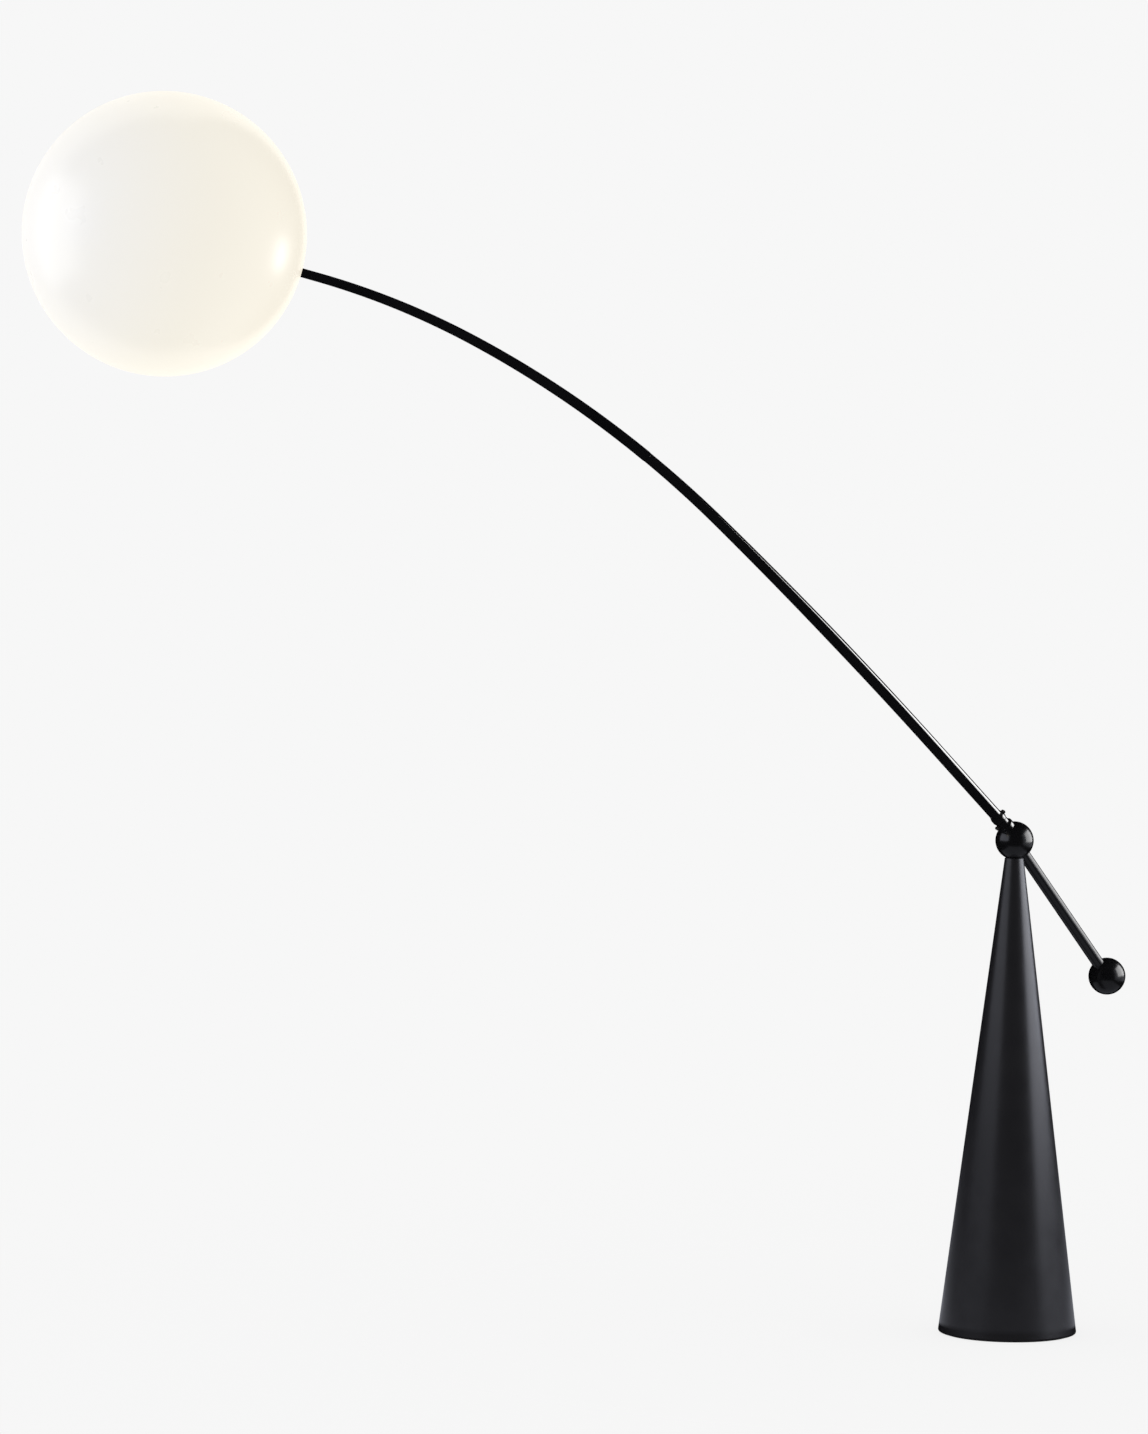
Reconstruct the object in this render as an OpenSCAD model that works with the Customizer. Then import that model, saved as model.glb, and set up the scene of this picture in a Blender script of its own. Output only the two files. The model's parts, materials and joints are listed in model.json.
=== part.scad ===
// Arc floor lamp: weighted cone base, ball pivot, curved tapered arm with an opal globe,
// and a short rod with a counterweight ball on the other side.
// Millimetres, +Z up, origin on the floor under the middle of the base. The arm leans to -X.

/* [Base] */
// Radius of the cone at the floor
base_r = 98; // [92:1:110]
// Radius of the cone where the ball sits on it
cone_top_r = 13.4; // [13.2:0.1:14]
// Height of the cone
cone_h = 673; // [600:1:720]
// Thickness of the spun steel cone
shell_wall = 1.5; // [1.2:0.1:2]
// Height of the cast-iron ballast
ballast_h = 160; // [120:5:260]
// Thickness of the floor pad
pad_h = 1.5; // [1:0.5:3]

/* [Ball pivot] */
// Radius of the pivot ball
pivot_ball_r = 27; // [26:0.5:28]
// Outer radius of the hollow swivel stem
stem_r = 6; // [5.5:0.1:6]
// How far the arm can be lowered from its highest setting, in degrees
tilt_travel = 15; // [8:1:15]

/* [Arm] */
// Angle of the socket above the horizontal, in degrees
socket_angle = 40.8; // [36:0.1:46]
// How far the socket's axis passes above the middle of the pivot ball
socket_rise = 4.7; // [0:0.1:6]
// Outer radius of the lower arm tube
arm_low_r = 8.5; // [8:0.1:9]
// Outer radius of the arm tube at the globe
arm_tip_r = 5.8; // [5.8:0.1:6.5]
// Wall of the lower and middle arm tubes
arm_wall = 1.2; // [1:0.1:1.2]

/* [Counterweight] */
// Angle of the counterweight rod below the horizontal, in degrees
rod_angle = 48.3; // [45:0.1:55]
// Radius of the counterweight rod
rod_r = 8.5; // [8:0.1:9]
// Distance between the middles of the two balls
rod_reach = 268; // [230:1:290]
// Radius of the counterweight ball
counter_ball_r = 26.4; // [24:0.1:30]

/* [Globe] */
// Outer radius of the opal globe
globe_r = 180; // [170:1:200]
// Wall of the globe
globe_wall = 2; // [1.6:0.1:3]
// Radius of the globe's opening
globe_mouth_r = 42; // [40:1:46]

/* [Hidden] */
$fn = 96;

eps = 0.01;
fit = 0.03; // radial clearance of a running fit
loose = 0.05; // radial clearance of a part that is only located

black = [0.07, 0.07, 0.08];
steel = [0.62, 0.63, 0.65];
iron = [0.28, 0.28, 0.30];
opal = [0.95, 0.93, 0.87];
nylon = [0.88, 0.87, 0.82];
brass = [0.78, 0.62, 0.32];
rubber = [0.10, 0.10, 0.10];

// The cone
cone_slope = (base_r - cone_top_r) / cone_h;
function cone_r(z) = base_r - cone_slope * z;
function cone_in(z) = cone_r(z) - shell_wall;
shell_foot = 1.5; // underside of the rolled edge above the floor
foot_round = 3; // outer radius of the rolled edge
lip_r = 88; // inner edge of the lip under the base plate
shell_top = cone_h - 2.5; // the ball seat covers the rest

// The base plate and the ballast
plate_z = shell_foot + shell_wall + loose;
plate_h = 4;
plate_r = base_r - 4.2;
ballast_z = plate_z + plate_h + loose;
ballast_gap = 0.6;
bore_r = 12;
screw_circle_r = 60;
screw_r = 4;
screw_head_r = 7.9;
screw_length = 24;
channel_w = 12;
pocket_r = 10; // pocket for the grommet's inner flange
pocket_depth = 9;
inlet_z = 16;
inlet_r = 6;

// The terminal block stands on the ballast
block_x = 30;
block_z = ballast_z + ballast_h;
block_size = [30, 18, 14];

// The ball pivot
pivot_z = cone_h + sqrt(pow(pivot_ball_r, 2) - pow(cone_top_r, 2)) + 1.6;
seat_gap = 0.3;
seat_r = cone_top_r - 1.1;
spigot_seat_z = cone_h - 13;
bush_h = 40;
bush_top = spigot_seat_z - 0.5;
bush_bottom = bush_top - bush_h;
stem_bore_r = 3.2;
stem_top = pivot_z + 6.5;
pin_r = 3;
pin_in = 3.3;
pin_out = 21;
cavity_r = 9.3;
slot_half = stem_r + 0.35;

// The stack under the guide bush, from the top down
thrust_z = bush_bottom - 1.5;
spring_z = thrust_z - 4.2;
flat_z = spring_z - 1.5;
nut_h = 9;
nut_z = flat_z - nut_h;
tab_z = nut_z - 2.5;
jam_h = 6;
jam_z = tab_z - jam_h;
stem_bottom = jam_z - 3;
stop_pin_x = -15.4;

// The arm: straight stretches have radius 0, the others bend down towards the globe
arm_run = [[200, 0], [500, 8550], [480, 1860], [264, 1415], [60, 0]];
function turn_of(run) = run[1] == 0 ? 0 : run[0] / run[1] * 180 / PI;
function start_s(i) = i == 0 ? 0 : start_s(i - 1) + arm_run[i - 1][0];
function start_angle(i) = i == 0 ? socket_angle : start_angle(i - 1) - turn_of(arm_run[i - 1]);
function along(p, a, d, bend) = bend == 0
    ? [p[0] - d * cos(a), p[1] + d * sin(a)]
    : let (b = a - d / bend * 180 / PI)
        [p[0] - bend * (sin(a) - sin(b)), p[1] + bend * (cos(b) - cos(a))];
function start_point(i) = i == 0
    ? [socket_rise * sin(socket_angle), pivot_z + socket_rise * cos(socket_angle)]
    : along(start_point(i - 1), start_angle(i - 1), arm_run[i - 1][0], arm_run[i - 1][1]);
function stretch_at(s, i = 0) =
    i == len(arm_run) - 1 || s < start_s(i + 1) ? i : stretch_at(s, i + 1);
function arm_point(s) = let (i = stretch_at(s))
    along(start_point(i), start_angle(i), s - start_s(i), arm_run[i][1]);
function arm_angle(s) = let (i = stretch_at(s))
    start_angle(i) - turn_of([s - start_s(i), arm_run[i][1]]);
arm_end = start_s(len(arm_run));
end_angle = arm_angle(arm_end);
globe_centre = arm_point(arm_end + globe_r);

// Where the arm's pieces start and end, as lengths along it from the middle of the ball
boss_start = 19;
foot_end = 30.5;
neck_start = 33.6;
boss_end = 40;
ferrule_start = 40.3;
tube_start = 48.5;
ferrule_end = 52.6;
sleeve_end = 70;
spigot_start = 12;
spigot_end = 66;
low_joint = 439;
high_joint = 855;
coupler_half = 28;
boss_foot_r = 12.1;
boss_neck_r = 9.4;
ferrule_r = 10.4;
spigot_r = 6;
wire_bore_r = 3.5;
lead_r = 2.4;
mid_end_r = 7;
high_start_r = 7.4; // the upper tube's lower end stands a little proud of the middle tube
tip_wall = 0.8;
nipple_r = arm_tip_r - tip_wall;
tube_sides = 24;
lead_sides = 8;

// The thumbscrews
thumb_r = 2;
thumb_head_r = 3.2;
thumb_head_h = 3;
lower_thumb_s = 36.2;
upper_thumb_s = 43.6;
thumb_tip = spigot_r + 0.15;
thumb_head = 10.9; // underside of the head from the arm's axis

// The counterweight
stud_r = 3;
stud_start = 17;
stud_end = 52;
rod_clear = 0.6;
rod_end = rod_reach - counter_ball_r + 8;
ball_stud_r = 4;

// The globe's fitting, as heights above the globe's middle, towards the arm
hub_r = 16;
hub_low = globe_r - 10;
cap_wall = 2.5;
cap_edge_r = globe_mouth_r - 0.35;
lug_top = globe_r - 13;
nipple_low = globe_r - 34;
holder_top = hub_low - 8;
holder_low = holder_top - 52;
holder_r = 19.5;
bulb_cap_r = 13.2;
bulb_cap_h = 26;
bulb_cap_low = holder_low + 3;
bulb_r = 30;
bulb_mid = bulb_cap_low - 58;

// Places a child on the arm's line, with +Z along the arm and +X to its upper side
module on_arm(s) {
    p = arm_point(s);
    translate([p[0], 0, p[1]]) rotate([0, arm_angle(s) - 90, 0]) children();
}

// Places a child at the middle of the pivot ball, with +Z along the counterweight rod
module on_rod() {
    translate([0, 0, pivot_z]) rotate([0, 90 + rod_angle, 0]) children();
}

// Places a child at the middle of the globe, with +Z back towards the arm
module on_globe() {
    translate([globe_centre[0], 0, globe_centre[1]]) rotate([0, end_angle + 90, 0]) children();
}

module ring(outer, inner, low, high) {
    translate([0, 0, low]) difference() {
        cylinder(r = outer, h = high - low);
        translate([0, 0, -1]) cylinder(r = inner, h = high - low + 2);
    }
}

module hex_nut(across, inner, low, high) {
    translate([0, 0, low]) difference() {
        cylinder(d = across / cos(30), h = high - low, $fn = 6);
        translate([0, 0, -1]) cylinder(r = inner, h = high - low + 2);
    }
}

// Rings of points around a line of [x, z, angle] stations, angle above the -X direction
function ring_points(station, r, sides) = [
    for (j = [0 : sides - 1]) let (t = 360 * j / sides, a = station[2])
        [station[0] + r * cos(t) * sin(a), r * sin(t), station[1] + r * cos(t) * cos(a)]
];
function join(lists) = [for (part = lists) for (item = part) item];
function side_faces(rings, sides, closed) = [
    for (k = [0 : rings - (closed ? 1 : 2)]) for (j = [0 : sides - 1])
        let (a = k * sides, b = ((k + 1) % rings) * sides, n = (j + 1) % sides)
            for (half = [[a + j, b + j, b + n], [a + j, b + n, a + n]]) half
];

// A tube that follows the arm from one length to another while its radius tapers
module arm_tube(s0, s1, r0, r1, wall, steps) {
    ss = [for (i = [0 : steps]) s0 + (s1 - s0) * i / steps];
    rs = [for (i = [0 : steps]) r0 + (r1 - r0) * i / steps];
    stations = [for (s = ss) concat(arm_point(s), [arm_angle(s)])];
    grow = 1 / cos(180 / tube_sides); // keeps the flats of the hollow outside its true radius
    outer = [for (i = [0 : steps]) ring_points(stations[i], rs[i], tube_sides)];
    inner = [for (i = [steps : -1 : 0]) ring_points(stations[i], (rs[i] - wall) * grow, tube_sides)];
    polyhedron(join(concat(outer, inner)), side_faces(2 * steps + 2, tube_sides, true));
}

// A solid lead along a line of stations
module lead(stations) {
    count = len(stations);
    last = (count - 1) * lead_sides;
    caps = [
        [for (j = [0 : lead_sides - 1]) j],
        [for (j = [lead_sides - 1 : -1 : 0]) last + j]
    ];
    polyhedron(
        join([for (st = stations) ring_points(st, lead_r, lead_sides)]),
        concat(side_faces(count, lead_sides, false), caps)
    );
}

module floor_pad() {
    color(rubber) cylinder(r = base_r - 8, h = pad_h);
}

module ballast_screw_places() {
    for (a = [45 : 90 : 315]) rotate([0, 0, a]) translate([screw_circle_r, 0, 0]) children();
}

module base_plate() {
    color(steel) difference() {
        translate([0, 0, plate_z]) cylinder(r = plate_r, h = plate_h);
        ballast_screw_places() {
            translate([0, 0, plate_z - 1]) cylinder(r = screw_r + loose, h = plate_h + 2);
            translate([0, 0, plate_z - eps])
                cylinder(r1 = screw_head_r + 0.2, r2 = screw_r + loose, h = plate_h);
        }
    }
}

module ballast() {
    top = ballast_z + ballast_h;
    color(iron) difference() {
        translate([0, 0, ballast_z])
            cylinder(
                r1 = cone_in(ballast_z) - ballast_gap, r2 = cone_in(top) - ballast_gap, h = ballast_h
            );
        translate([0, 0, ballast_z - 1]) cylinder(r = bore_r, h = ballast_h + 2);
        translate([-channel_w / 2, 0, ballast_z - 1]) cube([channel_w, base_r, inlet_z]);
        translate([0, cone_r(inlet_z) - pocket_depth, inlet_z])
            rotate([-90, 0, 0]) cylinder(r = pocket_r, h = 2 * pocket_depth);
        ballast_screw_places()
            translate([0, 0, ballast_z - 1]) cylinder(r = screw_r, h = screw_length);
    }
}

module ballast_screws() {
    color(steel) ballast_screw_places() {
        translate([0, 0, plate_z + 0.1]) cylinder(r1 = screw_head_r, r2 = screw_r, h = plate_h - 0.1);
        translate([0, 0, plate_z + 2]) cylinder(r = screw_r, h = screw_length);
    }
}

// The spun cone, rolled in at the foot under the base plate
module base_cone() {
    bend_z = shell_foot + foot_round;
    bend_x = cone_r(bend_z) - foot_round;
    foot_in = foot_round - shell_wall;
    color(black) difference() {
        rotate_extrude($fn = 128) polygon(concat(
            [[lip_r, shell_foot]],
            [for (a = [-90 : 15 : 0]) [bend_x + foot_round * cos(a), bend_z + foot_round * sin(a)]],
            [[cone_r(shell_top), shell_top], [cone_in(shell_top), shell_top]],
            [for (a = [0 : -15 : -90]) [bend_x + foot_in * cos(a), bend_z + foot_in * sin(a)]],
            [[lip_r, shell_foot + shell_wall]]
        ));
        translate([0, cone_r(inlet_z) - 12, inlet_z])
            rotate([-90, 0, 0]) cylinder(r = inlet_r + loose, h = 20);
    }
}

// Rubber ring around the cord's inlet at the back of the cone
module cord_grommet() {
    color(rubber) translate([0, cone_r(inlet_z), inlet_z]) rotate([-90, 0, 0]) rotate_extrude()
        polygon([
            [3.6, -5], [8, -5], [8.6, -3], [inlet_r, -2.6], [inlet_r, 0.9],
            [8.6, 0.9], [8, 2.4], [3.6, 2.8]
        ]);
}

module terminal_block() {
    wire_r = lead_r + 0.2;
    color(nylon) difference() {
        translate([block_x - block_size[0] / 2, -block_size[1] / 2, block_z]) cube(block_size);
        translate([block_x, 0, block_z + 8]) cylinder(r = wire_r, h = 20);
        for (side = [-1, 1])
            translate([block_x + side * 9, 0, block_z + 4]) cylinder(r = 2, h = 20);
    }
}

module terminal_screws() {
    color(brass) for (side = [-1, 1])
        translate([block_x + side * 9, 0, block_z + 4]) cylinder(r = 2, h = 8);
}

// The lead from the stem down to the terminal block, in one smooth sideways step
module base_lead() {
    top = stem_bottom - 1;
    low = block_z + 8;
    steps = 24;
    bend_top = low + 160;
    function rise(i) = low + (bend_top - low) * i / (steps - 1);
    function shift(i) = block_x * (1 + cos(180 * i / (steps - 1))) / 2;
    function lean(i) = atan(block_x * PI / 2 / (bend_top - low) * sin(180 * i / (steps - 1)));
    color(nylon) lead(concat(
        [for (i = [0 : steps - 1]) [shift(i), rise(i), 90 - lean(i)]],
        [[0, top, 90]]
    ));
}

// The ball's seat: a turned ring that finishes the cone, hollowed to the ball
module ball_seat() {
    color(black) difference() {
        union() {
            translate([0, 0, shell_top])
                cylinder(r1 = cone_r(shell_top), r2 = cone_top_r, h = cone_h - shell_top);
            translate([0, 0, cone_h - eps])
                cylinder(r1 = cone_top_r, r2 = seat_r, h = 0.7);
            translate([0, 0, spigot_seat_z])
                cylinder(r = cone_in(shell_top) - loose, h = shell_top - spigot_seat_z + eps);
        }
        translate([0, 0, spigot_seat_z - 1]) cylinder(r = stem_r + fit, h = 30);
        translate([0, 0, pivot_z]) sphere(r = pivot_ball_r + seat_gap, $fn = 128);
    }
}

module guide_bush() {
    color(steel) difference() {
        translate([0, 0, bush_bottom]) cylinder(
            r1 = cone_in(bush_bottom) - loose, r2 = cone_in(bush_top) - loose, h = bush_h
        );
        translate([0, 0, bush_bottom - 1]) cylinder(r = stem_r + fit, h = bush_h + 2);
        translate([stop_pin_x, 0, bush_bottom - 1]) cylinder(r = 1.5, h = 7);
    }
}

module stop_pin() {
    color(steel) translate([stop_pin_x, 0, tab_z - 2])
        cylinder(r = 1.5, h = bush_bottom + 6 - tab_z + 2);
}

// The hollow stem that the ball tilts on, and that turns in the cone
module swivel_stem() {
    color(steel) difference() {
        translate([0, 0, stem_bottom]) cylinder(r = stem_r, h = stem_top - stem_bottom);
        translate([0, 0, stem_bottom - 1]) cylinder(r = stem_bore_r, h = 200);
        translate([0, 0, pivot_z]) rotate([90, 0, 0])
            cylinder(r = pin_r + fit, h = 4 * stem_r, center = true);
    }
}

module thrust_washer() {
    color(nylon) ring(13, stem_r + fit, thrust_z, bush_bottom);
}

// Two cupped spring washers, back to back
module disc_springs() {
    half = 2.1;
    thick = 1.2;
    rise = half - thick;
    color(steel) translate([0, 0, spring_z + half]) for (side = [0, 1]) mirror([0, 0, side])
        rotate_extrude() polygon([
            [stem_r + 0.1, rise], [13, 0.02], [13, thick], [stem_r + 0.1, half]
        ]);
}

module flat_washer() {
    color(steel) ring(12, stem_r + fit, flat_z, spring_z);
}

module swivel_nut() {
    color(steel) hex_nut(19, stem_r, nut_z, flat_z);
}

// The tab that meets the stop pin, so that the lead can't be wound up
module stop_tab() {
    color(steel) difference() {
        union() {
            ring(10.5, stem_r, tab_z, nut_z);
            translate([8, -2.5, tab_z]) cube([9, 5, nut_z - tab_z]);
        }
        translate([0, 0, tab_z - 1]) cylinder(r = stem_r, h = 5);
    }
}

module jam_nut() {
    color(steel) hex_nut(19, stem_r, jam_z, tab_z);
}

module stem_lead() {
    color(nylon) translate([0, 0, stem_bottom - 0.5])
        cylinder(r = lead_r, h = pivot_z + 5 - stem_bottom);
}

// The slot under the ball, as wide as the stem, through which the stem swings
module stem_slot() {
    reach = 2 * pivot_ball_r;
    for (a = [0, tilt_travel]) rotate([0, a, 0])
        translate([0, 0, -reach]) cylinder(r = slot_half, h = reach);
    rotate([90, 0, 0]) translate([0, 0, -slot_half]) linear_extrude(2 * slot_half)
        polygon([
            [0, 0], [0, -reach], [-reach * tan(tilt_travel), -reach]
        ]);
    rotate([90, 0, 0]) cylinder(r = cavity_r, h = 2 * slot_half, center = true);
}

module pivot_ball() {
    color(black) difference() {
        translate([0, 0, pivot_z]) sphere(r = pivot_ball_r, $fn = 128);
        translate([0, 0, pivot_z]) stem_slot();
        translate([0, pivot_ball_r + 1, pivot_z]) rotate([90, 0, 0])
            cylinder(r = pin_r, h = pivot_ball_r + 1 + pin_out);
        on_arm(5) cylinder(r = spigot_r, h = pivot_ball_r);
        on_rod() translate([0, 0, stud_start]) cylinder(r = stud_r, h = pivot_ball_r);
    }
}

// Two pins, one each side, that leave the middle free for the lead
module pivot_pins() {
    color(steel) for (side = [-1, 1]) translate([0, side * (pin_in + pin_out) / 2, pivot_z])
        rotate([90, 0, 0]) cylinder(r = pin_r, h = pin_out - pin_in, center = true);
}

module pin_plug() {
    color(black) intersection() {
        translate([0, pin_out, pivot_z]) rotate([-90, 0, 0]) cylinder(r = pin_r, h = 10);
        translate([0, 0, pivot_z]) sphere(r = pivot_ball_r, $fn = 128);
    }
}

module thumb_hole(s, side) {
    on_arm(s) rotate([0, side * 90, 0]) cylinder(r = thumb_r + loose, h = 20);
}

// The boss stands on the ball with a broad foot and a narrower neck
module socket_boss() {
    color(black) difference() {
        on_arm(0) rotate_extrude() polygon([
            [0, boss_start], [boss_foot_r, boss_start], [boss_foot_r, foot_end - 1],
            [boss_foot_r - 1, foot_end], [boss_neck_r, neck_start], [boss_neck_r, boss_end - 0.6],
            [boss_neck_r - 0.6, boss_end], [0, boss_end]
        ]);
        translate([0, 0, pivot_z]) sphere(r = pivot_ball_r, $fn = 128);
        on_arm(0) cylinder(r = spigot_r, h = boss_end + 5);
        thumb_hole(lower_thumb_s, -1);
    }
}

module spigot_tube() {
    color(steel) on_arm(0) ring(spigot_r, wire_bore_r, spigot_start, spigot_end);
}

module thumbscrew(s, side) {
    on_arm(s) rotate([0, side * 90, 0]) {
        translate([0, 0, thumb_tip]) cylinder(r = thumb_r, h = thumb_head - 1.2 - thumb_tip);
        translate([0, 0, thumb_tip]) cylinder(r = thumb_r - 0.5, h = thumb_head - thumb_tip + 1);
        translate([0, 0, thumb_head]) cylinder(r = thumb_head_r, h = thumb_head_h);
    }
}

module lower_thumbscrew() {
    color(black) thumbscrew(lower_thumb_s, -1);
}

module upper_thumbscrew() {
    color(black) thumbscrew(upper_thumb_s, 1);
}

module rod_stud() {
    color(steel) on_rod() translate([0, 0, stud_start]) cylinder(r = stud_r, h = stud_end - stud_start);
}

// The rod's end is hollowed to the ball and cut back to pass the cone as the ball turns
module counterweight_rod() {
    color(black) difference() {
        on_rod() translate([0, 0, 15]) cylinder(r = rod_r, h = rod_end - 15);
        translate([0, 0, pivot_z]) sphere(r = pivot_ball_r + loose, $fn = 128);
        translate([0, 0, cone_h - 60])
            cylinder(r1 = cone_r(cone_h - 60) + rod_clear, r2 = cone_r(cone_h + 3) + rod_clear, h = 63);
        on_rod() cylinder(r = stud_r, h = stud_end);
        on_rod() translate([0, 0, rod_end - 14]) cylinder(r = ball_stud_r, h = 20);
    }
}

module counterweight_stud() {
    color(steel) on_rod() translate([0, 0, rod_end - 14]) cylinder(r = ball_stud_r, h = 26);
}

module counterweight_ball() {
    color(black) on_rod() difference() {
        translate([0, 0, rod_reach]) sphere(r = counter_ball_r, $fn = 128);
        translate([0, 0, rod_end - 30]) cylinder(r = rod_r, h = 30);
        translate([0, 0, rod_end - 1]) cylinder(r = ball_stud_r, h = 13);
    }
}

// The ferrule on the arm's lower end turns on the spigot tube
module arm_ferrule() {
    cup_r = arm_low_r + loose;
    sleeve_r = arm_low_r - arm_wall - 0.1;
    color(black) difference() {
        on_arm(0) rotate_extrude() polygon([
            [spigot_r + fit, ferrule_start], [ferrule_r - 0.8, ferrule_start],
            [ferrule_r, ferrule_start + 0.8], [ferrule_r, ferrule_end - 5],
            [cup_r + 0.4, ferrule_end], [cup_r, ferrule_end],
            [cup_r, tube_start], [sleeve_r, tube_start], [sleeve_r, sleeve_end],
            [spigot_r + fit, sleeve_end]
        ]);
        thumb_hole(upper_thumb_s, 1);
    }
}

module lower_arm_tube() {
    color(black) arm_tube(tube_start + 0.02, low_joint, arm_low_r, arm_low_r, arm_wall, 8);
}

module lower_coupler() {
    color(steel) on_arm(low_joint) ring(7, 5.6, -coupler_half, coupler_half);
}

module middle_arm_tube() {
    color(black) arm_tube(low_joint + 0.02, high_joint, arm_low_r, mid_end_r, arm_wall, 12);
}

module upper_coupler() {
    color(steel) on_arm(high_joint) ring(5.55, 4.3, -coupler_half + 4, coupler_half - 4);
}

module upper_arm_tube() {
    color(black) arm_tube(high_joint + 0.02, arm_end, high_start_r, arm_tip_r, tip_wall, 22);
}

module arm_lead() {
    low = 10.5;
    high = arm_end + globe_r - nipple_low - 2;
    steps = 44;
    function at(i) = low + (high - low) * i / steps;
    color(nylon) lead([for (i = [0 : steps]) concat(arm_point(at(i)), [arm_angle(at(i))])]);
}

module threaded_nipple() {
    color(brass) on_globe() ring(nipple_r, wire_bore_r, nipple_low, globe_r + 16);
}

// The round cap that closes the globe's mouth, with a hub for the nipple and bayonet lugs
module globe_cap() {
    skirt_in = cap_edge_r - 2.4;
    color(opal) on_globe() difference() {
        union() {
            intersection() {
                difference() {
                    sphere(r = globe_r, $fn = 128);
                    sphere(r = globe_r - cap_wall, $fn = 128);
                }
                cylinder(r = cap_edge_r, h = 2 * globe_r);
            }
            translate([0, 0, hub_low]) cylinder(r = hub_r, h = globe_r - 1 - hub_low);
            difference() {
                ring(cap_edge_r - 0.4, skirt_in, lug_top - 3.5, globe_r - 6);
                difference() {
                    cylinder(r = 100, h = 2 * globe_r);
                    sphere(r = globe_r - 1, $fn = 128);
                }
            }
            for (a = [0, 120, 240]) rotate([0, 0, a])
                translate([skirt_in + 1, -6, lug_top - 3.5]) cube([5.5, 12, 3]);
        }
        cylinder(r = nipple_r + loose, h = 2 * globe_r);
    }
}

// The ring bonded inside the globe's mouth; the cap's lugs turn in under it
module globe_ring() {
    low = lug_top;
    color(opal) on_globe() difference() {
        intersection() {
            ring(globe_mouth_r + 8, globe_mouth_r, low, globe_r);
            sphere(r = globe_r - globe_wall - 0.02, $fn = 128);
        }
        for (a = [60, 180, 300]) rotate([0, 0, a])
            translate([globe_mouth_r - 2, -7, low - 1]) cube([5, 14, 20]);
    }
}

module globe() {
    color(opal) on_globe() difference() {
        sphere(r = globe_r, $fn = 160);
        sphere(r = globe_r - globe_wall, $fn = 160);
        cylinder(r = globe_mouth_r, h = 2 * globe_r);
    }
}

module cap_washer() {
    color(steel) on_globe() ring(9, nipple_r + loose, hub_low - 1.2, hub_low);
}

module cap_nut() {
    color(brass) on_globe() hex_nut(14, nipple_r, hub_low - 5.2, hub_low - 1.2);
}

// Plain lamp holder, open at the bottom for the bulb's screw cap
module lamp_holder() {
    neck_r = 12;
    color(nylon) on_globe() difference() {
        union() {
            translate([0, 0, holder_low]) cylinder(r = holder_r, h = 36);
            translate([0, 0, holder_low + 36]) cylinder(r1 = holder_r, r2 = neck_r, h = 8);
            translate([0, 0, holder_low + 44]) cylinder(r = neck_r, h = 8);
        }
        translate([0, 0, holder_low - 1]) cylinder(r = 14, h = 33);
        translate([0, 0, holder_low + 30]) cylinder(r = nipple_r + loose, h = 30);
    }
}

module holder_contact() {
    color(brass) on_globe() translate([0, 0, bulb_cap_low + bulb_cap_h + 0.3])
        cylinder(r = 4.6, h = 1.6);
}

module bulb_cap() {
    color(steel) on_globe() difference() {
        union() {
            translate([0, 0, bulb_cap_low]) cylinder(r = bulb_cap_r, h = bulb_cap_h - 5);
            translate([0, 0, bulb_cap_low + bulb_cap_h - 5]) cylinder(r1 = bulb_cap_r, r2 = 5, h = 5);
        }
        translate([0, 0, bulb_cap_low - 1]) cylinder(r = bulb_cap_r - 0.6, h = 12);
    }
}

// The bulb's outline, drawn smaller by the wall for its hollow
module bulb_form(inset) {
    neck_r = bulb_cap_r - 0.65 - inset;
    shoulder = bulb_mid + 22;
    translate([0, 0, bulb_mid]) sphere(r = bulb_r - inset, $fn = 64);
    translate([0, 0, shoulder])
        cylinder(r1 = 20.4 - inset, r2 = neck_r, h = bulb_cap_low - 2 - shoulder);
    translate([0, 0, bulb_cap_low - 2 - eps]) cylinder(r = neck_r, h = 8 + inset);
}

module bulb() {
    color(opal) on_globe() difference() {
        bulb_form(0);
        bulb_form(1.2);
    }
}

floor_pad();
base_plate();
ballast();
ballast_screws();
base_cone();
cord_grommet();
terminal_block();
terminal_screws();
base_lead();
ball_seat();
guide_bush();
stop_pin();
swivel_stem();
thrust_washer();
disc_springs();
flat_washer();
swivel_nut();
stop_tab();
jam_nut();
stem_lead();
pivot_ball();
pivot_pins();
pin_plug();
socket_boss();
spigot_tube();
rod_stud();
counterweight_rod();
counterweight_stud();
counterweight_ball();
lower_thumbscrew();
arm_ferrule();
lower_arm_tube();
lower_coupler();
middle_arm_tube();
upper_coupler();
upper_arm_tube();
arm_lead();
upper_thumbscrew();
threaded_nipple();
globe_cap();
globe_ring();
globe();
cap_nut();
cap_washer();
lamp_holder();
holder_contact();
bulb_cap();
bulb();
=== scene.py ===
"""Arc floor lamp: looks, detailed pieces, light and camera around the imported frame."""

import json
import math

import bpy
from mathutils import Matrix, Vector


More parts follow.
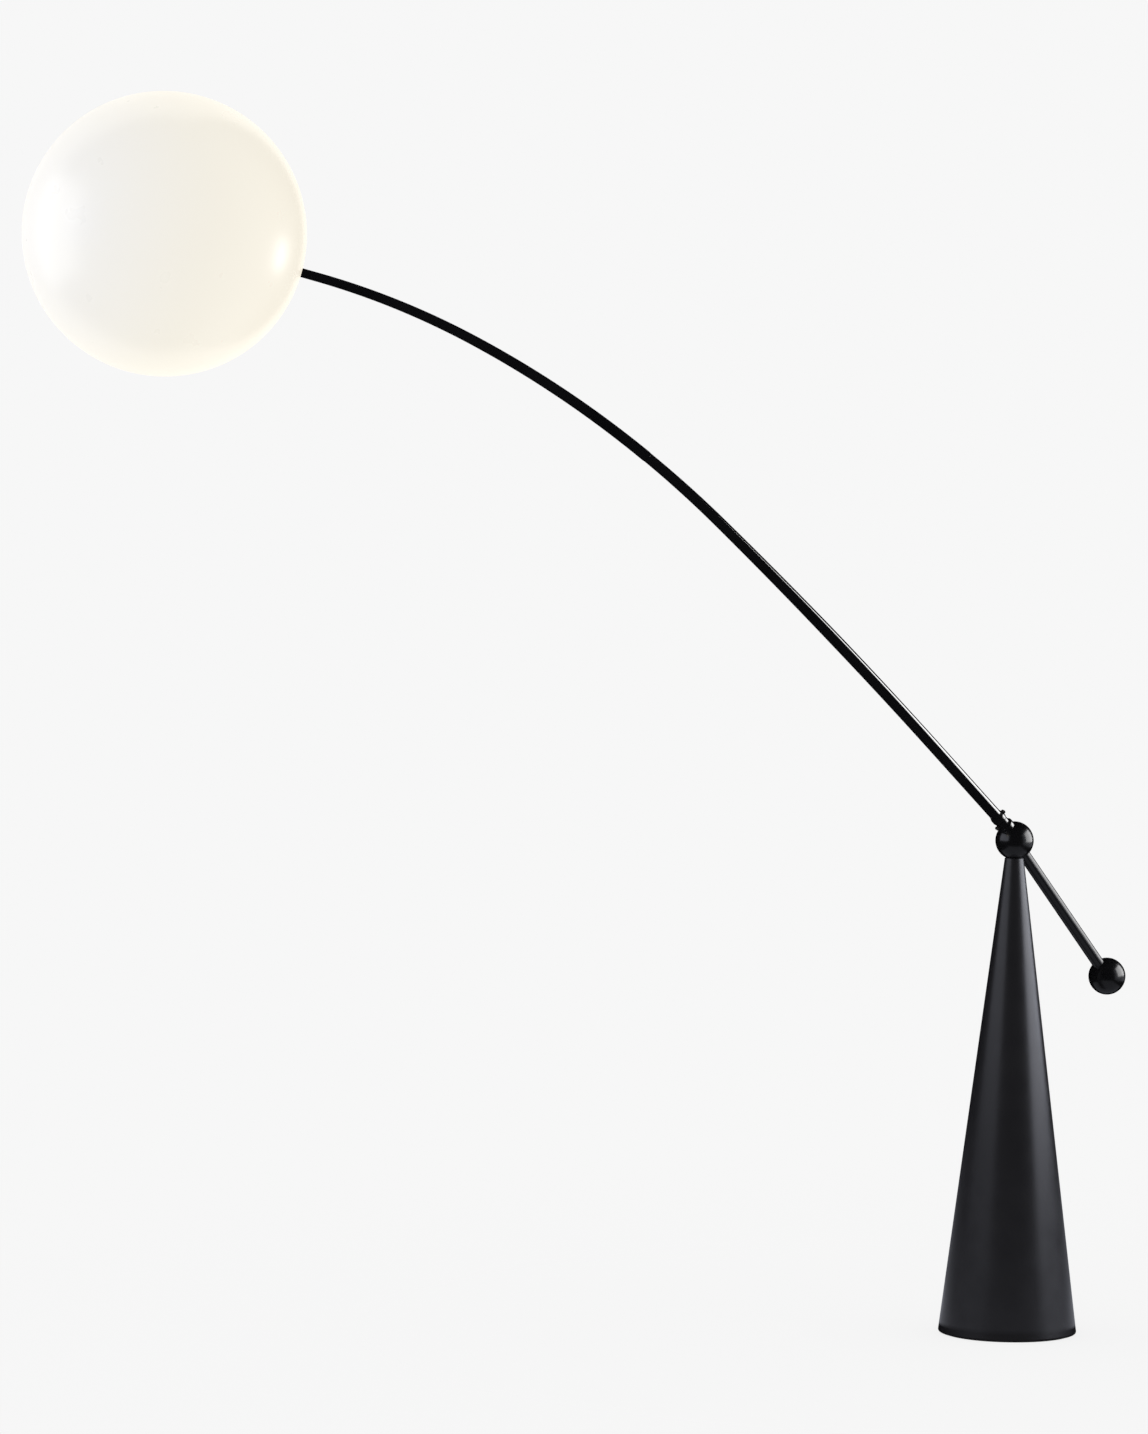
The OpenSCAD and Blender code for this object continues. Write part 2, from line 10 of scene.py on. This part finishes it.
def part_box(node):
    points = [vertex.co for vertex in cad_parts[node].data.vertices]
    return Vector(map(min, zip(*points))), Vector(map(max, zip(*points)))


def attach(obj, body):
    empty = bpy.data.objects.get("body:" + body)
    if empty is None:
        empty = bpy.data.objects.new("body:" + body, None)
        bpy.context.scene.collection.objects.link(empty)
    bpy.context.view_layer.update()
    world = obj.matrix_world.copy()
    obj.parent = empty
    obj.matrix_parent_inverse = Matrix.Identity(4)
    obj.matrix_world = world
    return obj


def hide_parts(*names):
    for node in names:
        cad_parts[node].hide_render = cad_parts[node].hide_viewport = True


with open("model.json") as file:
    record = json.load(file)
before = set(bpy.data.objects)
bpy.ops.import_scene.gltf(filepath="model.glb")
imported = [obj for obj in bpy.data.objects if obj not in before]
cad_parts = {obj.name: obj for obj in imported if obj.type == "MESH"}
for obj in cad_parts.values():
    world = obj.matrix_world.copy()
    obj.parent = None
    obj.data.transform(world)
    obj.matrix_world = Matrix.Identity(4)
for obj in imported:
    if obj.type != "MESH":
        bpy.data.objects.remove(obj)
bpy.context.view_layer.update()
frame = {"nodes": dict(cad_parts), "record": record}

MM = 0.001
nodes = frame["nodes"]
slots = {part["node"]: part["material_slot"] for part in frame["record"]["subparts"]}
joints = {joint["name"]: joint for joint in frame["record"]["behaviour"]["joints"]}

# ------------------------------------------------------------------ node materials


def node_material(name):
    """A new node material, its tree and its Principled shader."""
    material = bpy.data.materials.new(name)
    material.use_nodes = True
    tree = material.node_tree
    return material, tree, tree.nodes["Principled BSDF"]


def add(tree, kind, **inputs):
    """Adds a node and sets its inputs by name, with _ for a space."""
    node = tree.nodes.new(kind)
    for key, value in inputs.items():
        node.inputs[key.replace("_", " ")].default_value = value
    return node


def noise(tree, scale, detail=3.0):
    """Noise in the object's own metres."""
    place = tree.nodes.new("ShaderNodeTexCoord")
    texture = add(tree, "ShaderNodeTexNoise", Scale=scale, Detail=detail)
    tree.links.new(place.outputs["Object"], texture.inputs["Vector"])
    return texture.outputs["Fac"]


def colours(tree, value, low, high, start=0.3, end=0.7):
    """Turns a value into a colour between low and high."""
    node = tree.nodes.new("ShaderNodeValToRGB")
    for stop, place, colour in zip(node.color_ramp.elements, (start, end), (low, high)):
        stop.position = place
        stop.color = (*colour, 1)
    tree.links.new(value, node.inputs["Fac"])
    return node.outputs["Color"]


def spread(tree, value, low, high, start=0.3, end=0.7):
    """Turns a value into a number between low and high."""
    node = add(tree, "ShaderNodeMapRange", From_Min=start, From_Max=end, To_Min=low, To_Max=high)
    tree.links.new(value, node.inputs["Value"])
    return node.outputs["Result"]


def bump(tree, shader, value, height):
    """A fine relief of the given height in metres."""
    node = add(tree, "ShaderNodeBump", Strength=1.0, Distance=height)
    tree.links.new(value, node.inputs["Height"])
    tree.links.new(node.outputs["Normal"], shader.inputs["Normal"])


def finish_material(name, low, high, rough, grain, cloud=9.0, **constants):
    """Two close colours in soft clouds, a gloss that varies between the two values of rough,
    and a grain of (scale, height). Scales are in the noise's cells per metre."""
    smear = 35.0
    material, tree, shader = node_material(name)
    tree.links.new(
        colours(tree, noise(tree, cloud), low, high), shader.inputs["Base Color"]
    )
    tree.links.new(
        spread(tree, noise(tree, smear, 6.0), *rough), shader.inputs["Roughness"]
    )
    grain_scale, grain_height = grain
    bump(tree, shader, noise(tree, grain_scale, 2.0), grain_height)
    for key, value in constants.items():
        shader.inputs[key.replace("_", " ")].default_value = value
    return material


materials = {
    "black_lacquer": finish_material(
        "gloss_black", (0.0030, 0.0030, 0.0036), (0.0048, 0.0047, 0.0056),
        (0.18, 0.24), (420, 0.000003),
    ),
    "blackened_brass": finish_material(
        "blackened_brass", (0.010, 0.009, 0.009), (0.020, 0.018, 0.017),
        (0.16, 0.26), (1200, 0.000006),
    ),
    "zinc_steel": finish_material(
        "zinc_steel", (0.46, 0.47, 0.49), (0.60, 0.61, 0.63),
        (0.25, 0.42), (1500, 0.00001), Metallic=1.0,
    ),
    "cast_iron": finish_material(
        "cast_iron", (0.050, 0.050, 0.052), (0.090, 0.088, 0.085),
        (0.6, 0.85), (350, 0.0003), cloud=30.0, Metallic=0.4,
    ),
    "black_rubber": finish_material(
        "black_rubber", (0.012, 0.012, 0.012), (0.022, 0.022, 0.022),
        (0.7, 0.85), (1200, 0.00005),
    ),
    "white_nylon": finish_material(
        "white_nylon", (0.70, 0.68, 0.62), (0.78, 0.76, 0.70), (0.4, 0.5), (800, 0.00002),
    ),
    "brass": finish_material(
        "brass", (0.62, 0.43, 0.17), (0.74, 0.53, 0.24),
        (0.2, 0.35), (1200, 0.00001), Metallic=1.0,
    ),
    "lead_sheath": finish_material(
        "lead_sheath", (0.68, 0.67, 0.63), (0.76, 0.75, 0.71), (0.4, 0.5), (600, 0.00002),
    ),
    "bulb_opal": finish_material(
        "bulb_opal", (0.90, 0.90, 0.86), (0.93, 0.92, 0.88), (0.3, 0.4), (500, 0.00001),
    ),
    # The tubes' finish in the black_lacquer slot, smoother than the balls'
    "arm_lacquer": finish_material(
        "gloss_black_tube", (0.0030, 0.0030, 0.0036), (0.0048, 0.0047, 0.0056),
        (0.05, 0.09), (420, 0.000002),
    ),
    "black_satin": finish_material(
        "satin_black", (0.0088, 0.0086, 0.0108), (0.0112, 0.0109, 0.0136),
        (0.30, 0.36), (1100, 0.000010), cloud=5.0,
    ),
}

# ------------------------------------------------------------------ where things are

pivot = Vector(joints["tilt"]["pos_m"])
globe_low, globe_high = (Vector(corner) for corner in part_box("globe"))
globe_r = (globe_high.y - globe_low.y) / 2
globe_centre = Vector((globe_low.x + globe_r, 0, globe_high.z - globe_r))

# The arm's line starts a little above the middle of the pivot ball
SOCKET_ANGLE = math.radians(40.8)
SOCKET_RISE = 4.7 * MM
# Length and bend radius of each stretch of the arm's line, 0 for straight
ARM_RUN = ((0.200, 0), (0.500, 8.55), (0.480, 1.86), (0.264, 1.415), (0.060, 0))
ARM_END = sum(length for length, bend in ARM_RUN)


def arm_place(s):
    """Point on the arm's line and its angle above -X, at length s from the ball's middle."""
    angle = SOCKET_ANGLE
    x = pivot.x + SOCKET_RISE * math.sin(angle)
    z = pivot.z + SOCKET_RISE * math.cos(angle)
    for number, (length, bend) in enumerate(ARM_RUN):
        last = number == len(ARM_RUN) - 1
        step = s if last else min(s, length)
        if bend:
            after = angle - step / bend
            x -= bend * (math.sin(angle) - math.sin(after))
            z += bend * (math.cos(after) - math.cos(angle))
            angle = after
        else:
            x -= step * math.cos(angle)
            z += step * math.sin(angle)
        s -= step
        if s <= 0 and not last:
            break
    return Vector((x, 0, z)), angle


def on_arm(s):
    """Matrix with Z along the arm and X to its upper side."""
    point, angle = arm_place(s)
    return Matrix.Translation(point) @ Matrix.Rotation(angle - math.pi / 2, 4, "Y")


on_globe = Matrix.Translation(globe_centre) @ Matrix.Rotation(
    arm_place(ARM_END)[1] + math.pi / 2, 4, "Y"
)

# ------------------------------------------------------------------ mesh tools

# Edges that bend by more than this stay sharp
SHARP_ANGLE = math.radians(32)


def new_piece(name, verts, faces):
    """A smooth-shaded mesh object with its sharp edges kept."""
    mesh = bpy.data.meshes.new(name)
    mesh.from_pydata([tuple(v) for v in verts], [], faces)
    mesh.validate()
    mesh.shade_smooth()
    mesh.set_sharp_from_angle(angle=SHARP_ANGLE)
    piece = bpy.data.objects.new(name, mesh)
    bpy.context.scene.collection.objects.link(piece)
    return piece


def rounded(points, radius):
    """A closed profile with each corner turned into a small curve."""
    result = []
    steps = 4
    share = 0.45
    for i, point in enumerate(points):
        here = Vector(point)
        before = Vector(points[i - 1]) - here
        after = Vector(points[(i + 1) % len(points)]) - here
        reach = min(radius, before.length * share, after.length * share)
        start = here + before.normalized() * reach
        end = here + after.normalized() * reach
        for k in range(steps + 1):
            t = k / steps
            result.append(tuple(start * (1 - t) ** 2 + here * 2 * t * (1 - t) + end * t * t))
    return result


def turned(name, profile, place, sides=96, closed=True, shape=None):
    """Turns a profile of (radius, height) about Z. shape(angle, r) may change the radius."""
    verts, rings = [], []
    for r, z in profile:
        if abs(r) < 1e-9:
            rings.append([len(verts)])
            verts.append(place @ Vector((0, 0, z)))
            continue
        ring = []
        for j in range(sides):
            angle = math.tau * j / sides
            radius = shape(angle, r) if shape else r
            ring.append(len(verts))
            verts.append(place @ Vector((radius * math.cos(angle), radius * math.sin(angle), z)))
        rings.append(ring)
    faces = []
    pairs = list(zip(rings, rings[1:]))
    if closed:
        pairs.append((rings[-1], rings[0]))
    for a, b in pairs:
        if len(a) == 1 and len(b) == 1:
            continue
        for j in range(sides):
            n = (j + 1) % sides
            if len(a) == 1:
                faces.append((a[0], b[n], b[j]))
            elif len(b) == 1:
                faces.append((a[j], a[n], b[0]))
            else:
                faces.append((a[j], a[n], b[n], b[j]))
    return new_piece(name, verts, faces)


def swept_tube(name, start, end, r_start, r_end, wall, steps):
    """A tapered tube along the arm's line, with softened ends."""
    sides = 64
    soft = 0.06 * MM
    # Each station is a length along the arm and how far the wall is drawn in there
    stations = [(start, -soft), (start + soft * 0.3, -soft * 0.3), (start + soft, 0)]
    # A station close to each end keeps the softened edge out of the long faces' shading
    inner_steps = [start + 2 * soft]
    inner_steps += [start + (end - start) * k / steps for k in range(1, steps)]
    inner_steps += [end - 2 * soft]
    stations += [(s, 0) for s in inner_steps]
    stations += [(end - soft, 0), (end - soft * 0.3, -soft * 0.3), (end, -soft)]
    outside, inside = [], []
    for s, drawn in stations:
        radius = r_start + (r_end - r_start) * (s - start) / (end - start)
        outside.append((s, radius + drawn))
        inside.append((s, radius - wall))
    loop = outside + inside[::-1]
    verts = []
    for s, radius in loop:
        place = on_arm(s)
        for j in range(sides):
            angle = math.tau * j / sides
            verts.append(place @ Vector((radius * math.cos(angle), radius * math.sin(angle), 0)))
    faces = []
    for k in range(len(loop)):
        a, b = k * sides, (k + 1) % len(loop) * sides
        for j in range(sides):
            n = (j + 1) % sides
            faces.append((a + j, a + n, b + n, b + j))
    return new_piece(name, verts, faces)


def put(piece, body, slot, *replaced, material=None):
    """Gives a piece its finish, its body and the CAD nodes that it stands for."""
    piece.data.materials.append(material or materials[slot])
    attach(piece, body)
    if replaced:
        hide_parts(*replaced)


# ------------------------------------------------------------------ the globe


def opal_material():
    """Glossy opal acrylic, softly lit by the bulb near its mouth."""
    material, tree, shader = node_material("opal_acrylic")
    shader.inputs["Specular IOR Level"].default_value = 0.5
    tree.links.new(
        colours(tree, noise(tree, 4.0, 2.0), (0.775, 0.750, 0.675), (0.790, 0.768, 0.695)),
        shader.inputs["Base Color"],
    )
    tree.links.new(
        spread(tree, noise(tree, 25.0, 5.0), 0.27, 0.33), shader.inputs["Roughness"]
    )
    bump(tree, shader, noise(tree, 60.0, 2.0), 0.00001)
    place = tree.nodes.new("ShaderNodeTexCoord")
    distance = tree.nodes.new("ShaderNodeVectorMath")
    distance.operation = "DISTANCE"
    bulb_height = 0.55 * globe_r
    distance.inputs[1].default_value = on_globe @ Vector((0, 0, bulb_height))
    tree.links.new(place.outputs["Object"], distance.inputs[0])
    fall = spread(tree, distance.outputs["Value"], 0.0, 1.0, 0.5 * globe_r, 1.5 * globe_r)
    glow = colours(tree, fall, (0.38, 0.33, 0.245), (0.14, 0.132, 0.115), 0.0, 1.0)
    tree.links.new(glow, shader.inputs["Emission Color"])
    shader.inputs["Emission Strength"].default_value = 1.0
    return material


materials["opal_acrylic"] = opal_material()


def make_globe():
    """The opal sphere as one smooth shell with a softened mouth."""
    wall = 2 * MM
    mouth_r = 42 * MM
    lip = 0.6 * MM
    rows = 150

    def arc(radius):
        """Points of (radius, height) from the mouth's lip to the far pole."""
        start = math.asin((mouth_r + lip) / radius)
        angles = [start + (math.pi - start) * k / rows for k in range(rows)]
        return [(radius * math.sin(a), radius * math.cos(a)) for a in angles] + [(0, -radius)]

    outer = arc(globe_r)
    inner = arc(globe_r - wall)
    high, low = outer[0][1], inner[0][1]
    mouth = [(mouth_r, low + (high - low) * t) for t in (0.2, 0.8)]
    globe = turned("globe_shell", outer + inner[::-1] + mouth, on_globe, sides=256)
    put(globe, "arm", "opal_acrylic", "globe")
    return globe


# ------------------------------------------------------------------ the arm


def make_arm():
    """The arm's three tapered tubes, which meet in hairline joints."""
    tube_start = 0.0485
    low_joint = 0.439
    high_joint = 0.855
    gap = 0.02 * MM
    made = []
    # Name, CAD node, start and end along the arm, the radius at each, the wall and the steps
    tubes = (
        ("lower_tube", "lower_arm_tube", tube_start + gap, low_joint, 8.5, 8.5, 1.2, 60),
        ("middle_tube", "middle_arm_tube", low_joint + gap, high_joint, 8.5, 7.0, 1.2, 70),
        ("upper_tube", "upper_arm_tube", high_joint + gap, ARM_END, 7.4, 5.8, 0.8, 110),
    )
    for name, node, start, end, r_start, r_end, wall, steps in tubes:
        tube = swept_tube(name, start, end, r_start * MM, r_end * MM, wall * MM, steps)
        put(tube, "arm", "black_lacquer", node, material=materials["arm_lacquer"])
        made.append(tube)
    return made


def make_collars():
    """The boss on the ball and the ferrule on the arm's end, with softened edges."""
    edge = 0.5
    # Outlines of (radius, length along the arm) in mm
    boss = [(6, 19), (12.1, 19), (12.1, 29.5), (11.1, 30.5), (9.4, 33.6), (9.4, 40), (6, 40)]
    ferrule = [
        (6.05, 40.3), (9.6, 40.3), (10.4, 41.1), (10.4, 47.6), (8.6, 52.6),
        (8.52, 48.5), (7.2, 48.5), (7.2, 70), (6.05, 70),
    ]
    collars = []
    for name, node, body, outline in (
        ("boss_turned", "socket_boss", "head", boss),
        ("ferrule_turned", "arm_ferrule", "arm", ferrule),
    ):
        profile = [(r * MM, z * MM) for r, z in rounded(outline, edge)]
        collar = turned(name, profile, on_arm(0))
        put(collar, body, "black_lacquer", node)
        collars.append(collar)
    return collars


def knurled_screw(name, s, side):
    """A thumbscrew with a straight-knurled head, a relief under it and a threaded shank. It is
    at length s, on the arm's upper side (1) or its lower side (-1)."""
    teeth = 22
    knurl_depth = 0.16
    tip = 6.15
    thread_start, pitch, turns = 6.4, 0.55, 7
    crest = 0.27
    head, height, radius = 10.9, 3.0, 3.2
    top = head + height
    # Heights in mm from the arm's line, from the tip inside the arm to the head's dished face
    profile = [(0, tip), (1.3, tip)]
    for k in range(turns):
        z = thread_start + k * pitch
        profile += [(1.55, z), (2.0, z + crest)]
    profile += [(1.5, 10.2), (1.5, 10.5), (2.3, 10.7), (2.3, head)]
    profile += [(radius - 0.35, head), (radius, head + 0.35)]
    profile += [(radius, top - 0.5), (radius - 0.5, top - 0.05)]
    profile += [(radius - 0.9, top), (1.5, top - 0.25), (0, top - 0.35)]

    def knurl(angle, r):
        if r < (radius - 0.4) * MM:
            return r
        groove = (1 - math.cos(teeth * angle)) / 2
        return r - knurl_depth * MM * groove * r / (radius * MM)

    place = on_arm(s) @ Matrix.Rotation(side * math.pi / 2, 4, "Y")
    points = [(r * MM, z * MM) for r, z in profile]
    return turned(name, points, place, sides=teeth * 8, closed=False, shape=knurl)


def make_screws():
    """The lower thumbscrew under the arm and the upper one above it."""
    lower = knurled_screw("lower_thumbscrew_knurled", 0.0362, -1)
    put(lower, "lower_screw", "blackened_brass", "lower_thumbscrew")
    upper = knurled_screw("upper_thumbscrew_knurled", 0.0436, 1)
    put(upper, "upper_screw", "blackened_brass", "upper_thumbscrew")
    return [lower, upper]


# ------------------------------------------------------------------ stage, light and camera

BACKDROP = 0.93
# The floor's own light and the light that falls on it come to the backdrop's white together
FLOOR_GLOW = 0.892 * BACKDROP
# The brightest softboxes are white, and the dim light around them is a little cooler
WHITE = (1, 1, 1)
DAYLIGHT = (0.92, 0.95, 1.08)
# The picture's axes have X to the right and -Y towards the viewer. There the arm leans left and
# comes 37 degrees forward, and this turns those axes to the lamp's own.
FROM_VIEW = Matrix.Rotation(math.radians(-37), 4, "Z")


def make_floor():
    """A round pale floor that fades into the backdrop before its edge."""
    radius, sides = 2.4, 96
    verts = [(0, 0, 0)]
    verts += [
        (radius * math.cos(math.tau * j / sides), radius * math.sin(math.tau * j / sides), 0)
        for j in range(sides)
    ]
    faces = [(0, 1 + j, 1 + (j + 1) % sides) for j in range(sides)]
    floor = new_piece("floor", verts, faces)
    material, tree, shader = node_material("pale_floor")
    shader.inputs["Base Color"].default_value = (0.10, 0.10, 0.10, 1)
    shader.inputs["Roughness"].default_value = 0.9
    shader.inputs["Specular IOR Level"].default_value = 0.0
    shader.inputs["Emission Color"].default_value = (1, 1, 1, 1)
    shader.inputs["Emission Strength"].default_value = FLOOR_GLOW
    place = tree.nodes.new("ShaderNodeTexCoord")
    distance = tree.nodes.new("ShaderNodeVectorMath")
    distance.operation = "LENGTH"
    fade = add(tree, "ShaderNodeMapRange", From_Min=0.3, From_Max=radius * 0.95)
    fade.interpolation_type = "SMOOTHSTEP"
    clear = tree.nodes.new("ShaderNodeBsdfTransparent")
    mix = tree.nodes.new("ShaderNodeMixShader")
    tree.links.new(place.outputs["Object"], distance.inputs[0])
    tree.links.new(distance.outputs["Value"], fade.inputs["Value"])
    tree.links.new(fade.outputs["Result"], mix.inputs["Fac"])
    tree.links.new(shader.outputs["BSDF"], mix.inputs[1])
    tree.links.new(clear.outputs["BSDF"], mix.inputs[2])
    tree.links.new(mix.outputs["Shader"], tree.nodes["Material Output"].inputs["Surface"])
    floor.data.materials.append(material)
    floor.visible_glossy = False


def softbox(
    name, place, target, size, radiance, roll=0, colour=DAYLIGHT, glossy=True, diffuse=False
):
    """A rectangular light that faces a target, placed in the picture's axes. Each point of it
    has the given radiance. It is seen in reflections alone, unless told otherwise."""
    lamp = bpy.data.lights.new(name, "AREA")
    lamp.shape = "RECTANGLE"
    lamp.size, lamp.size_y = size
    lamp.energy = radiance * math.pi * size[0] * size[1]
    lamp.color = colour
    holder = bpy.data.objects.new(name, lamp)
    turn = (Vector(target) - Vector(place)).to_track_quat("-Z", "Y").to_matrix().to_4x4()
    holder.matrix_world = (
        FROM_VIEW @ Matrix.Translation(place) @ turn @ Matrix.Rotation(math.radians(roll), 4, "Z")
    )
    holder.visible_camera = False
    holder.visible_glossy = glossy
    holder.visible_diffuse = diffuse
    bpy.context.scene.collection.objects.link(holder)
    return holder


def light_only(lamp, pieces, leave_out=False):
    """Limits a light to some pieces, or to everything but them."""
    group = bpy.data.collections.new(lamp.name + "_pieces")
    for piece in pieces:
        group.objects.link(piece)
    if leave_out:
        for entry in group.collection_objects:
            entry.light_linking.link_state = "EXCLUDE"
    lamp.light_linking.receiver_collection = group


def make_backdrop():
    """An even white world that isn't seen in reflections."""
    world = bpy.data.worlds.new("backdrop")
    bpy.context.scene.world = world
    world.use_nodes = True
    shade = world.node_tree.nodes["Background"]
    shade.inputs["Color"].default_value = (1, 1, 1, 1)
    shade.inputs["Strength"].default_value = BACKDROP
    world.cycles_visibility.glossy = False


def light_black_parts(opal, tubes, collars, screws):
    """The softboxes that the black paint reflects."""
    cone = [nodes["base_cone"], nodes["ball_seat"]]
    # These pieces have a light of their own, or none, on the right
    apart = opal + screws + cone + tubes + collars
    right = softbox(
        "right_box", (1.9, 0.4, 1.30), (0, 0.4, 1.30), (2.1, 1.6), 5.5, colour=WHITE
    )
    light_only(right, apart, leave_out=True)
    # The soft edge that a big box has around its bright middle
    edge = softbox("right_edge", (1.95, 0.1, 1.1), (0, 0.1, 1.1), (3.4, 2.5), 0.45)
    light_only(edge, apart, leave_out=True)
    side = softbox("cone_box", (1.9, 0.1, 1.25), (0, 0.1, 1.25), (2.5, 1.7), 3.2)
    top = softbox("cone_top", (1.88, 0.1, 1.35), (0, 0.1, 1.35), (1.6, 1.2), 3.0, colour=WHITE)
    for lamp in (side, top):
        light_only(lamp, cone)
    strip = softbox(
        "arm_strip", (1.9, 0.5, 1.175), (0, 0.5, 1.175), (1.1, 1.2), 15.0, roll=-17, colour=WHITE
    )
    light_only(strip, tubes + collars)
    left = softbox("left_box", (-2.27, -0.78, 1.40), (0, 0, 1.3), (2.8, 1.5), 1.3)
    light_only(left, opal + [nodes["counterweight_ball"]], leave_out=True)
    floor = softbox("floor_bounce", (0, -0.25, 0.012), (0, -0.25, 1), (1.5, 1.5), 0.25)
    light_only(floor, tubes + collars, leave_out=True)
    low = softbox("cone_bounce", (0, 0.6, 0.014), (0, 0.6, 1), (4.0, 3.0), 0.3)
    light_only(low, [nodes["base_cone"]])


def light_globe(opal):
    """The globe's own lights: a wall on its left, a warm back, a glint and a cool tint."""
    middle = FROM_VIEW.inverted() @ globe_centre

    def around_globe(x, y, z):
        return tuple(middle + Vector((x, y, z)))

    wall = softbox(
        "globe_wall", around_globe(-1.35, 0, 0.05), around_globe(0, 0, 0.03), (1.1, 1.4), 2.0,
        colour=WHITE,
    )
    back = softbox(
        "globe_back", around_globe(-1.1, 1.17, 0.3), around_globe(-1.1, 0, 0.3),
        (3.7, 8.0), 1.05, colour=(1.0, 0.97, 0.91),
    )
    glint = softbox(
        "globe_glint", around_globe(2.65, 1.07, -0.44), middle, (0.54, 0.63), 9.0, colour=WHITE
    )
    cool = softbox(
        "globe_cool", around_globe(-2.1, -0.9, 0.33), middle, (1.08, 1.08), 3.0,
        colour=(0.41, 0.57, 1.15), glossy=False, diffuse=True,
    )
    for lamp in (wall, back, glint, cool):
        light_only(lamp, opal)


def make_camera():
    """A long lens, nearly level and a touch rolled."""
    look_down = math.radians(2.9954)
    lens = bpy.data.cameras.new("camera")
    lens.lens = 158.16
    lens.sensor_width = 36
    lens.clip_end = 60
    camera = bpy.data.objects.new("camera", lens)
    bpy.context.scene.collection.objects.link(camera)
    place = Matrix.Translation((-0.62248, -8.85274, 1.32807))
    tip = Matrix.Rotation(math.pi / 2 - look_down, 4, "X")
    roll = Matrix.Rotation(math.radians(0.6758), 4, "Z")
    camera.matrix_world = FROM_VIEW @ place @ tip @ roll
    bpy.context.scene.camera = camera


# ------------------------------------------------------------------ build

for node, piece in nodes.items():
    piece.data.materials.clear()
    piece.data.materials.append(materials[slots[node]])

globe = make_globe()
tubes = make_arm()
collars = make_collars()
screws = make_screws()
bpy.context.scene.view_settings.view_transform = "Standard"
make_floor()
make_backdrop()
opal = [globe, nodes["globe_cap"]]
light_black_parts(opal, tubes, collars, screws)
light_globe(opal)
make_camera()
